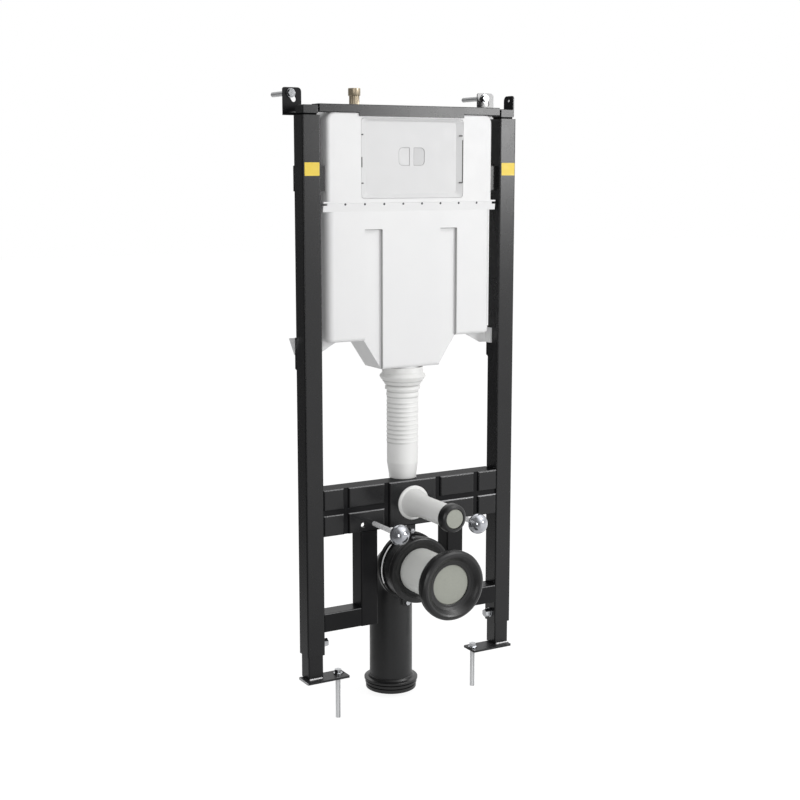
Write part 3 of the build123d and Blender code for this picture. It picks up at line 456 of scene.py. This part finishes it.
# Near-white finish of the painted highlight arc.
arc_highlight = finish("arc_highlight")
tint(arc_highlight, clouds(arc_highlight, per_metre=60), (0.98, 0.98, 0.98), (0.92, 0.92, 0.92))
gloss(arc_highlight, clouds(arc_highlight, per_metre=150), low=0.25, high=0.4)
dress(coat, "pipe_clamp")
dress(bright_zinc, "clamp_bolt_top", "clamp_bolt_bottom")

arc_tree, size, outlet = node_tree(
    "highlight_arc", ("Radius", "Float"), ("Wire", "Float"), ("Start", "Float"), ("Sweep", "Float"),
    ("Middle", "Vector"))
arc = arc_tree.nodes.new("GeometryNodeCurveArc")
arc.inputs["Resolution"].default_value = 64
wire = arc_tree.nodes.new("GeometryNodeCurvePrimitiveCircle")
wire.inputs["Resolution"].default_value = 8
swept = arc_tree.nodes.new("GeometryNodeCurveToMesh")
swept.inputs["Fill Caps"].default_value = True
stood = arc_tree.nodes.new("GeometryNodeTransform")
stood.inputs["Rotation"].default_value = (math.pi / 2, 0, 0)
wired(arc_tree,
      (size["Radius"], arc.inputs["Radius"]), (size["Start"], arc.inputs["Start Angle"]),
      (size["Sweep"], arc.inputs["Sweep Angle"]), (size["Wire"], wire.inputs["Radius"]),
      (arc.outputs[0], swept.inputs["Curve"]), (wire.outputs[0], swept.inputs["Profile Curve"]),
      (swept.outputs[0], stood.inputs["Geometry"]), (size["Middle"], stood.inputs["Translation"]))
grow(arc_tree, stood.outputs[0], arc_highlight, outlet)
ring = middle_of("waste_socket_ring")
clamp_highlight = grown("clamp_highlight", arc_tree, radius=ARC_R, wire=ARC_WIRE, start=ARC_FROM, sweep=ARC_SWEEP,
                   middle=(ring.x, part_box("pipe_clamp")[0].y, ring.z))
add_piece("clamp_highlight", clamp_highlight, arc_highlight, "frame")


# Bowl studs: bright threaded rod, screwed through the rail.
# The thread shows as fine rings along each rod.
THREAD = 210
stud_steel = finish("stud_steel", metallic=0.2)
uneven = remap(stud_steel, clouds(stud_steel, per_metre=90), 0, 1)
tint(stud_steel, uneven, (0.94, 0.94, 0.95), (0.84, 0.84, 0.85))
gloss(stud_steel, clouds(stud_steel, per_metre=200), low=0.21, high=0.32)
thread = stud_steel.node_tree.nodes.new("ShaderNodeTexWave")
thread.bands_direction = "Y"
thread.inputs["Scale"].default_value = THREAD
stud_steel.node_tree.links.new(coordinates(stud_steel), thread.inputs["Vector"])
grain(stud_steel, thread.outputs["Fac"], depth=0.0001, strength=0.25)
dress(stud_steel, *both("bowl_stud"))


# Stud nuts: chrome plated brass domes with a knurled rim towards the rail.
# They hold the bowl and cover the studs' ends.
NUT_RINGS = (
    (5.1, 0, 0), (15.0, 0, 0), (16.2, -0.6, 0.9), (18.6, -2.4, 1.1), (19.0, -3.2, 1.1), (17.6, -3.9, 0),
    (19.6, -5.0, 0), (20.4, -8.0, 0), (20.5, -10.0, 0), (20.1, -13.0, 0), (19.1, -16.0, 0), (17.4, -19.3, 0),
    (15.0, -22.4, 0), (11.8, -25.2, 0), (8.0, -27.4, 0), (4.0, -28.6, 0), (0, -29.0, 0))
NUT_TEETH = 22
POINTS_A_TOOTH = 6
chrome = finish("chrome", metallic=0.88)
tint(chrome, clouds(chrome, per_metre=45), (0.52, 0.53, 0.56), (0.36, 0.37, 0.40))
gloss(chrome, clouds(chrome, per_metre=120), low=0.07, high=0.16)
grain(chrome, clouds(chrome, per_metre=90, detail=1), depth=0.0012, strength=0.9)


def turned(name, rings, segments, teeth, place):
    """Turned piece from (radius, height, tooth depth) rings in mm, closed where a radius is nought."""
    bm = bmesh.new()
    loops = []
    for radius, height, depth in rings:
        loop = []
        for step in range(segments if radius else 1):
            a = 2 * math.pi * step / segments
            r = radius - depth * (0.5 - 0.5 * math.cos(teeth * a))
            loop.append(bm.verts.new((r * math.cos(a) / 1000, r * math.sin(a) / 1000, height / 1000)))
        loops.append(loop)
    pairs = list(zip(loops, loops[1:]))
    if len(loops[-1]) > 1:
        pairs.append((loops[-1], loops[0]))
    else:
        bm.faces.new(loops[0])
    for first, second in pairs:
        for step in range(segments):
            after = (step + 1) % segments
            corners = [first[step % len(first)], first[after % len(first)]]
            corners += [second[after % len(second)], second[step % len(second)]]
            bm.faces.new(list(dict.fromkeys(corners)))
    bmesh.ops.transform(bm, matrix=place, verts=bm.verts)
    return closed_mesh(name, bm)


for side in ("left", "right"):
    seat = middle_of(f"stud_nut_{side}")
    seat.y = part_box(f"stud_nut_{side}")[1].y
    turn = Matrix.Translation(seat) @ Matrix.Rotation(-math.pi / 2, 4, "X")
    dome = turned(f"dome_nut_{side}", NUT_RINGS, NUT_TEETH * POINTS_A_TOOTH, NUT_TEETH, turn)
    nut = add_piece(f"dome_nut_{side}", dome, chrome, "frame", smooth_below=40)
    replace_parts(nut, f"stud_nut_{side}")


# Cistern: two white polypropylene shells, moulded and screwed together along their flanges.
# Eight small screws sit just under the seam. The two channels in the front carry painted shade
# under their upper ends and in their outer corners.
SHELL_WHITE, SHELL_SHADE, SHELL_ROUGH, SHELL_SHINE = (0.80, 0.80, 0.80), (0.78, 0.78, 0.785), 0.45, 0.35
GRAIN_SMOOTHER, GRAIN_ROUGHER = 0.05, 0.06
CHANNEL_TOP, CHANNEL_LINE, CHANNEL_FLOOR = 0.8915, 0.0008, -0.0040
CHANNEL_MIDDLES, CHANNEL_HALF, CHANNEL_SIDE = (0.1355, 0.3065), 0.0195, 0.0006
CHANNEL_SHADE, CORNER_SHADE = (0.36, 0.36, 0.36), (0.42, 0.42, 0.42)
SEAM_SCREWS, SEAM_HEAD, SEAM_FLAT = 8, 0.0023, (1, 0.35, 1)
SEAM_FIRST, SEAM_PITCH = (0.07295, -0.01465, 0.9410), (0.0426, 0, 0)


def moulded(name, colour, shade, roughness=SHELL_ROUGH, specular=0.4):
    """Moulded plastic with a fine spark-eroded grain and faint flow shading."""
    mat = finish(name, specular=specular)
    tint(mat, remap(mat, clouds(mat, per_metre=5), 0, 1), colour, shade)
    gloss(mat, clouds(mat, per_metre=40), low=roughness - GRAIN_SMOOTHER, high=roughness + GRAIN_ROUGHER)
    grain(mat, clouds(mat, per_metre=900, detail=2), depth=0.00003, strength=0.35)
    return mat


white = moulded("white_shell", SHELL_WHITE, SHELL_SHADE, SHELL_ROUGH, SHELL_SHINE)
at = split(white)
front = reckon(white, "LESS_THAN", at["Y"], CHANNEL_FLOOR)
below = reckon(white, "MULTIPLY", front, reckon(white, "LESS_THAN", at["Z"], CHANNEL_TOP))
level = reckon(white, "MULTIPLY", front, reckon(white, "COMPARE", at["Z"], CHANNEL_TOP, CHANNEL_LINE))
# Painted shade under each channel's upper end and in its outer corner.
for middle in CHANNEL_MIDDLES:
    across = reckon(white, "COMPARE", at["X"], middle, CHANNEL_HALF)
    overlay(white, reckon(white, "MULTIPLY", level, across), CHANNEL_SHADE)
    corner = reckon(white, "COMPARE", at["X"], middle + CHANNEL_HALF, CHANNEL_SIDE)
    overlay(white, reckon(white, "MULTIPLY", below, corner), CORNER_SHADE)
dress(white, "tank_upper", "tank_lower")

dark_steel = zinc("dark_steel", (0.12, 0.12, 0.125), (0.08, 0.08, 0.085), 0.4)
screw_tree, size, outlet = node_tree(
    "seam_screws", ("Count", "Int"), ("First", "Vector"), ("Pitch", "Vector"), ("Head", "Float"),
    ("Flat", "Vector"))
row = screw_tree.nodes.new("GeometryNodeMeshLine")
head = screw_tree.nodes.new("GeometryNodeMeshUVSphere")
head.inputs["Segments"].default_value = 16
head.inputs["Rings"].default_value = 8
driven = screw_tree.nodes.new("GeometryNodeInstanceOnPoints")
wired(screw_tree,
      (size["Count"], row.inputs["Count"]), (size["First"], row.inputs["Start Location"]),
      (size["Pitch"], row.inputs["Offset"]), (size["Head"], head.inputs["Radius"]),
      (row.outputs[0], driven.inputs["Points"]), (head.outputs[0], driven.inputs["Instance"]),
      (size["Flat"], driven.inputs["Scale"]))
grow(screw_tree, driven.outputs[0], dark_steel, outlet)
screws = grown("seam_screws", screw_tree, count=SEAM_SCREWS, first=SEAM_FIRST, pitch=SEAM_PITCH,
               head=SEAM_HEAD, flat=SEAM_FLAT)
add_piece("seam_screws", screws, dark_steel, "frame")


# Access cover: a thin dished polypropylene cover, a shade greyer than the cistern, clipped in.
# Four latches and a slot for the fingers show dark along its edges, and a dark strip along its right
# edge is painted shadow of the gap. Two flat pads of D shape lie in the middle of its dish, each on a
# thin dark rim of painted shade; the right pad is painted darker, as painted shade.
# The right strip is painted shadow of the gap along the cover's edge.
SLOTS = (("slot_left", (0.1075, 0.1105), (1.011, 1.031)), ("gap_shadow_right", (0.3362, 0.3382), (0.980, 1.065)))
LATCH_SPANS = {"left": (0.1078, 0.1128), "right": (0.3305, 0.3370)}
LATCH_MIDDLES, LATCH_H = {"low": 0.981, "high": 1.073}, 0.0026
STRIP_BACK, STRIP_T, STRIP_R, STRIP_RIM = -0.0116, 0.0030, 0.0007, 0.0002
BUTTON_MIDDLE, BUTTON_Z = 0.2230, 1.0320
BUTTON_W, BUTTON_H, BUTTON_R, BUTTON_GAP = 0.0250, 0.0350, 0.0090, 0.0090
DISH_FLOOR, PAD_T, PAD_INSET, RIM_T, RIM_INSET = -0.0075, 0.0008, 0.0009, 0.0002, 0.0001
ARC_STEP = 15
cover_white = moulded("cover_white", (0.69, 0.69, 0.69), (0.67, 0.67, 0.675), specular=SHELL_SHINE)
dark_slot_and_shadow = moulded("dark_slot_and_shadow", (0.10, 0.10, 0.10), (0.13, 0.13, 0.13), 0.6)
# Painted shade: the rims' dark grey and the right pad's darker grey.
rim_shade = moulded("button_shade_line", (0.40, 0.40, 0.40), (0.36, 0.36, 0.36), 0.5)
pad_shaded = moulded("button_right", (0.60, 0.60, 0.60), (0.57, 0.57, 0.575), specular=SHELL_SHINE)
dress(cover_white, "access_cover")


def strip(name, span, height):
    """Dark slot, latch or painted gap shadow at the cover's edge."""
    add_piece(name, film(name, span, height, STRIP_BACK, STRIP_T, STRIP_R, STRIP_RIM), dark_slot_and_shadow, "frame")


def half_round(name, sign, inset, thickness, mat):
    """D shaped plate in the dish, on the left or right, its straight edge towards the middle."""
    x0, x1 = BUTTON_GAP / 2 + inset, BUTTON_GAP / 2 + BUTTON_W - inset
    top, r = BUTTON_H / 2 - inset, BUTTON_R - inset
    points = [(x0, -top), (x0, top)]
    for cz, start in ((top - r, 90), (r - top, 0)):
        for turn in range(0, 91, ARC_STEP):
            a = math.radians(start - turn)
            points.append((x1 - r + r * math.cos(a), cz + r * math.sin(a)))
    bm = bmesh.new()
    ring = [bm.verts.new((BUTTON_MIDDLE + sign * x, DISH_FLOOR, BUTTON_Z + z)) for x, z in points]
    thickened(bm, ring, thickness)
    add_piece(name, closed_mesh(name, bm), mat, "frame")


for name, span, height in SLOTS:
    strip(name, span, height)
# The rims are painted shade along the pads' edges, and the right pad is painted darker, as painted shade.
for side, sign, pad in (("left", -1, cover_white), ("right", 1, pad_shaded)):
    half_round(f"button_shade_rim_{side}", sign, RIM_INSET, RIM_T, rim_shade)
    half_round(f"button_{side}", sign, PAD_INSET, PAD_T, pad)
for side, span in LATCH_SPANS.items():
    for place, z in LATCH_MIDDLES.items():
        strip(f"latch_{side}_{place}", span, (z - LATCH_H / 2, z + LATCH_H / 2))


# Inlet: a turned brass nipple with a smooth collar and a fluted body, screwed into the cistern.
# The supply's union nut goes on it.
INLET_RINGS = (
    (7, -5, 0), (7, 0, 0), (8.2, 0, 0), (11.4, 0, 0), (12, -0.7, 0), (12, -13.6, 0), (11.3, -14.6, 0),
    (9.9, -15, 0), (10, -16, 0.9), (10, -28, 0.9), (10, -41, 0.9), (9.8, -44.5, 0.5), (7, -44.5, 0),
    (7, -40, 0))
INLET_FLUTES = 14
POINTS_A_FLUTE = 8
brass = finish("turned_brass", metallic=0.55)
tint(brass, clouds(brass, per_metre=40), (0.52, 0.44, 0.32), (0.42, 0.35, 0.245))
gloss(brass, clouds(brass, per_metre=120), low=0.26, high=0.36)
grain(brass, clouds(brass, per_metre=1200, detail=1), depth=0.00001, strength=0.2)
top = middle_of("inlet_nipple")
top.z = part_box("inlet_nipple")[1].z
nipple = turned("nipple", INLET_RINGS, INLET_FLUTES * POINTS_A_FLUTE, INLET_FLUTES, Matrix.Translation(top))
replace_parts(add_piece("nipple", nipple, brass, "frame", smooth_below=35), "inlet_nipple")


# Flush pipe, its nut and the light tube: blow moulded and turned polyethylene, off-white.
# The pipe's ribs let it be cut to length; painted shade darkens them, fading to the right, and lines
# the rings above them. A short foot of the same plastic fills the pipe's hole in the rail.
PIPE_WHITE, PIPE_SHADE, PIPE_ROUGH = (0.82, 0.82, 0.805), (0.79, 0.79, 0.78), 0.42
# The ribbed pipe is a lighter copy of the same white, as painted light.
RIBBED_LIT_WHITE, RIBBED_LIT_TONE = (0.88, 0.88, 0.865), (0.85, 0.85, 0.84)
RIB_LOW, RIB_HIGH, RIB_PITCH, RIB_DARK, RIB_SHARE = 0.4575, 0.5480, 0.009, 0.4595, 0.65
RIB_FADE_FROM, RIB_FADE_TO = 0.203, 0.221
RIB_SHADE, RING_SHADE = (0.52, 0.52, 0.51), (0.62, 0.62, 0.61)
RING_WIDEST_DROP, RING_DROPS, RING_HALF = 0.0185, (0.0095, 0.0180, 0.0315, 0.0425), 0.0013
FOOT_RINGS = ((24.3, 5.7, 0), (27.9, 5.7, 0), (27.9, -0.5, 0), (27.0, -2.0, 0), (24.3, -2.0, 0))
FOOT_POINTS = 48
pipe_white = moulded("pipe_white", PIPE_WHITE, PIPE_SHADE, PIPE_ROUGH)
ribbed = moulded("pipe_ribbed", RIBBED_LIT_WHITE, RIBBED_LIT_TONE, PIPE_ROUGH)
at = split(ribbed)
# Painted shade on the ribs' undersides, fading to the right.
phase = math.pi / 2 - math.tau * RIB_DARK / RIB_PITCH
wave = reckon(ribbed, "SINE", reckon(ribbed, "MULTIPLY_ADD", at["Z"], math.tau / RIB_PITCH, phase))
shaded = remap(ribbed, wave, 0, RIB_SHARE, 0.0, 1.0)
ribs = reckon(ribbed, "COMPARE", at["Z"], (RIB_LOW + RIB_HIGH) / 2, (RIB_HIGH - RIB_LOW) / 2)
shaded = reckon(ribbed, "MULTIPLY", shaded, ribs)
fade = remap(ribbed, at["X"], 1.0, 0.0, RIB_FADE_FROM, RIB_FADE_TO)
overlay(ribbed, reckon(ribbed, "MULTIPLY", shaded, fade), RIB_SHADE)
# Painted shade lines under the nut's rings.
for mat in (pipe_white, ribbed):
    height = split(mat)["Z"]
    for drop in RING_DROPS:
        ring_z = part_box("flush_nut")[1].z - RING_WIDEST_DROP - drop
        overlay(mat, reckon(mat, "COMPARE", height, ring_z, RING_HALF), RING_SHADE)
dress(pipe_white, "flush_nut", "flush_connector")
dress(ribbed, "flush_pipe")
seat = middle_of("flush_pipe")
seat.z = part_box("carrier_rail")[1].z
foot = turned("pipe_foot", FOOT_RINGS, FOOT_POINTS, 1, Matrix.Translation(seat))
add_piece("pipe_foot", foot, ribbed, "frame", smooth_below=40)


# Flush and waste bends: black polyethylene pipe, bent hot.
# The socket ring, sleeve, collar and spigot rings on them are moulded rubber.
PIPE_BLACK, PIPE_BLACK_SHADE, PIPE_BLACK_ROUGH = (0.011, 0.0113, 0.012), (0.014, 0.0145, 0.015), 0.36
RUBBER, RUBBER_SHADE, RUBBER_ROUGH, RUBBER_SHINE = (0.008, 0.008, 0.0085), (0.012, 0.012, 0.0125), 0.34, 0.45
dress(moulded("pipe_black", PIPE_BLACK, PIPE_BLACK_SHADE, PIPE_BLACK_ROUGH), "flush_bend", "waste_bend")
dress(moulded("black_rubber", RUBBER, RUBBER_SHADE, RUBBER_ROUGH, RUBBER_SHINE),
      "flush_sleeve", "waste_collar", "waste_socket_ring", "waste_spigot_rings")


# Waste tube and plugs: grey polypropylene tube, with pale stoppers that keep dirt out until fitting.
# The stoppers have a matt, finely grained face.
TUBE_GREY, TUBE_SHADE, TUBE_ROUGH = (0.80, 0.81, 0.78), (0.76, 0.77, 0.745), 0.42
dress(moulded("tube_grey", TUBE_GREY, TUBE_SHADE, TUBE_ROUGH), "waste_tube")
plug_pale = finish("plug_pale", specular=0.3)
tint(plug_pale, clouds(plug_pale, per_metre=260, detail=4), (0.38, 0.39, 0.345), (0.33, 0.34, 0.30))
gloss(plug_pale, clouds(plug_pale, per_metre=300), low=0.48, high=0.65)
grain(plug_pale, clouds(plug_pale, per_metre=900, detail=3), depth=0.00015, strength=0.5)
dress(plug_pale, "waste_plug", "flush_plug")


# Studio: a pale floor under the anchors' tips and a white surround, both mirrored darker to the left.
# The floor shows white to the camera and keeps a trace of the frame's shadow.
FLOOR_Z, FLOOR_HALF, FLOOR_TONE, FLOOR_ROUGH = -0.0885, 15, (0.8, 0.8, 0.8, 1), 0.9
FLOOR_SHOWN, FLOOR_VEIL = 1.22, 0.75
FLOOR_LEFT, FLOOR_RIGHT = -1.0, 1.2
LIGHT_LEFT, LIGHT_RIGHT = 0.37, 0.26
MIRROR_LEFT, MIRROR_FLOOR, MIRROR_FAR = 0.11, 1.2, 0.92
WAY_LEFT, WAY_RIGHT = -0.45, 0.30
SKY, SKY_FROM, SKY_TO = 2.3, 0.30, 0.85


def side_shade(owner, across, left, right, start, end):
    """Level that rises from left to right between two places."""
    shade = owner.node_tree.nodes.new("ShaderNodeMapRange")
    shade.interpolation_type = "SMOOTHSTEP"
    for label, value in (("From Min", start), ("From Max", end), ("To Min", left), ("To Max", right)):
        shade.inputs[label].default_value = value
    owner.node_tree.links.new(across, shade.inputs["Value"])
    return shade.outputs["Result"]


pale_floor = finish("pale_floor", specular=0.1)
surface(pale_floor)["Base Color"].default_value = FLOOR_TONE
surface(pale_floor)["Roughness"].default_value = FLOOR_ROUGH
tree = pale_floor.node_tree
rays = tree.nodes.new("ShaderNodeLightPath").outputs
mirrored = side_shade(pale_floor, split(pale_floor)["X"], MIRROR_LEFT, MIRROR_FLOOR, FLOOR_LEFT, FLOOR_RIGHT)
shown = reckon(pale_floor, "MULTIPLY", rays["Is Camera Ray"], FLOOR_SHOWN)
veil = reckon(pale_floor, "MULTIPLY", rays["Is Camera Ray"], FLOOR_VEIL)
glow = tree.nodes.new("ShaderNodeEmission")
blend = tree.nodes.new("ShaderNodeMixShader")
wired(tree,
      (reckon(pale_floor, "MAXIMUM", shown, mirrored), glow.inputs["Strength"]),
      (reckon(pale_floor, "MAXIMUM", veil, rays["Is Glossy Ray"]), blend.inputs["Fac"]),
      (tree.nodes["Principled BSDF"].outputs[0], blend.inputs[1]), (glow.outputs[0], blend.inputs[2]),
      (blend.outputs[0], tree.nodes["Material Output"].inputs["Surface"]))
floor_mesh = bpy.data.meshes.new("floor")
corners = [(FLOOR_HALF * x, FLOOR_HALF * y, FLOOR_Z) for x, y in ((-1, -1), (1, -1), (1, 1), (-1, 1))]
floor_mesh.from_pydata(corners, [], [(0, 1, 2, 3)])
floor_mesh.materials.append(pale_floor)
floor = bpy.data.objects.new("floor", floor_mesh)
bpy.context.scene.collection.objects.link(floor)

world = bpy.data.worlds.new("white_surround")
bpy.context.scene.world = world
world.use_nodes = True
tree = world.node_tree
background = tree.nodes["Background"].inputs
background["Color"].default_value = (1, 1, 1, 1)
rays = tree.nodes.new("ShaderNodeLightPath").outputs
way = tree.nodes.new("ShaderNodeTexCoord")
across = tree.nodes.new("ShaderNodeSeparateXYZ")
tree.links.new(way.outputs["Generated"], across.inputs[0])
either = tree.nodes.new("ShaderNodeMix")
lit = side_shade(world, across.outputs["X"], LIGHT_LEFT, LIGHT_RIGHT, WAY_LEFT, WAY_RIGHT)
mirrored = side_shade(world, across.outputs["X"], MIRROR_LEFT, MIRROR_FAR, WAY_LEFT, WAY_RIGHT)
wired(tree, (rays["Is Glossy Ray"], either.inputs["Factor"]), (lit, either.inputs["A"]),
      (mirrored, either.inputs["B"]))
sky = side_shade(world, across.outputs["Z"], 1.0, SKY, SKY_FROM, SKY_TO)
level = reckon(world, "MULTIPLY", either.outputs["Result"], sky)
tree.links.new(reckon(world, "MAXIMUM", level, rays["Is Camera Ray"]), background["Strength"])


# Lamps: a soft window light to the right, whose reflection makes the right post and the bar grey,
# a weak fill in front, and a strip overhead that lines the upper edges. Each row gives the name,
# azimuth, elevation, distance, width, height, power and aim.
LAMPS = (
    ("window_light", 35, 5.9, 3.2, 0.8, 0.7, 34, (0.30, 0, 1.0)),
    ("front_fill", -35, 4, 3.6, 1.0, 1.6, 20, (0.22, 0, 0.5)),
    ("overhead", 45, 45, 2.4, 1.0, 0.35, 12, (0.22, 0, 0.6)))


def soft_lamp(name, azimuth, elevation, distance, width, height, power, aim):
    """Rectangular soft lamp at an azimuth from the front towards the right, turned to its aim."""
    data = bpy.data.lights.new(name, "AREA")
    data.shape = "RECTANGLE"
    data.size = width
    data.size_y = height
    data.energy = power
    lamp = bpy.data.objects.new(name, data)
    bpy.context.scene.collection.objects.link(lamp)
    a, e = math.radians(azimuth), math.radians(elevation)
    away = Vector((math.sin(a) * math.cos(e), -math.cos(a) * math.cos(e), math.sin(e)))
    lamp.location = Vector(aim) + distance * away
    lamp.rotation_mode = "QUATERNION"
    lamp.rotation_quaternion = away.to_track_quat("Z", "Y")


for lamp in LAMPS:
    soft_lamp(*lamp)


# Camera: a longer lens a metre above the floor, in front of the frame and to its left.
# It looks a little down, along the photograph's direction.
CAMERA_AT = (-1.18772, -2.43269, 1.00633)
CAMERA_YAW, CAMERA_PITCH = 0.518916, 0.161697
CAMERA_LENS, CAMERA_FILM = 63.49, 36
camera_data = bpy.data.cameras.new("camera")
camera_data.lens = CAMERA_LENS
camera_data.sensor_width = CAMERA_FILM
camera = bpy.data.objects.new("camera", camera_data)
bpy.context.scene.collection.objects.link(camera)
camera.location = CAMERA_AT
camera.rotation_euler = (math.pi / 2 - CAMERA_PITCH, 0, -CAMERA_YAW)
bpy.context.scene.camera = camera
bpy.context.scene.view_settings.view_transform = "Standard"
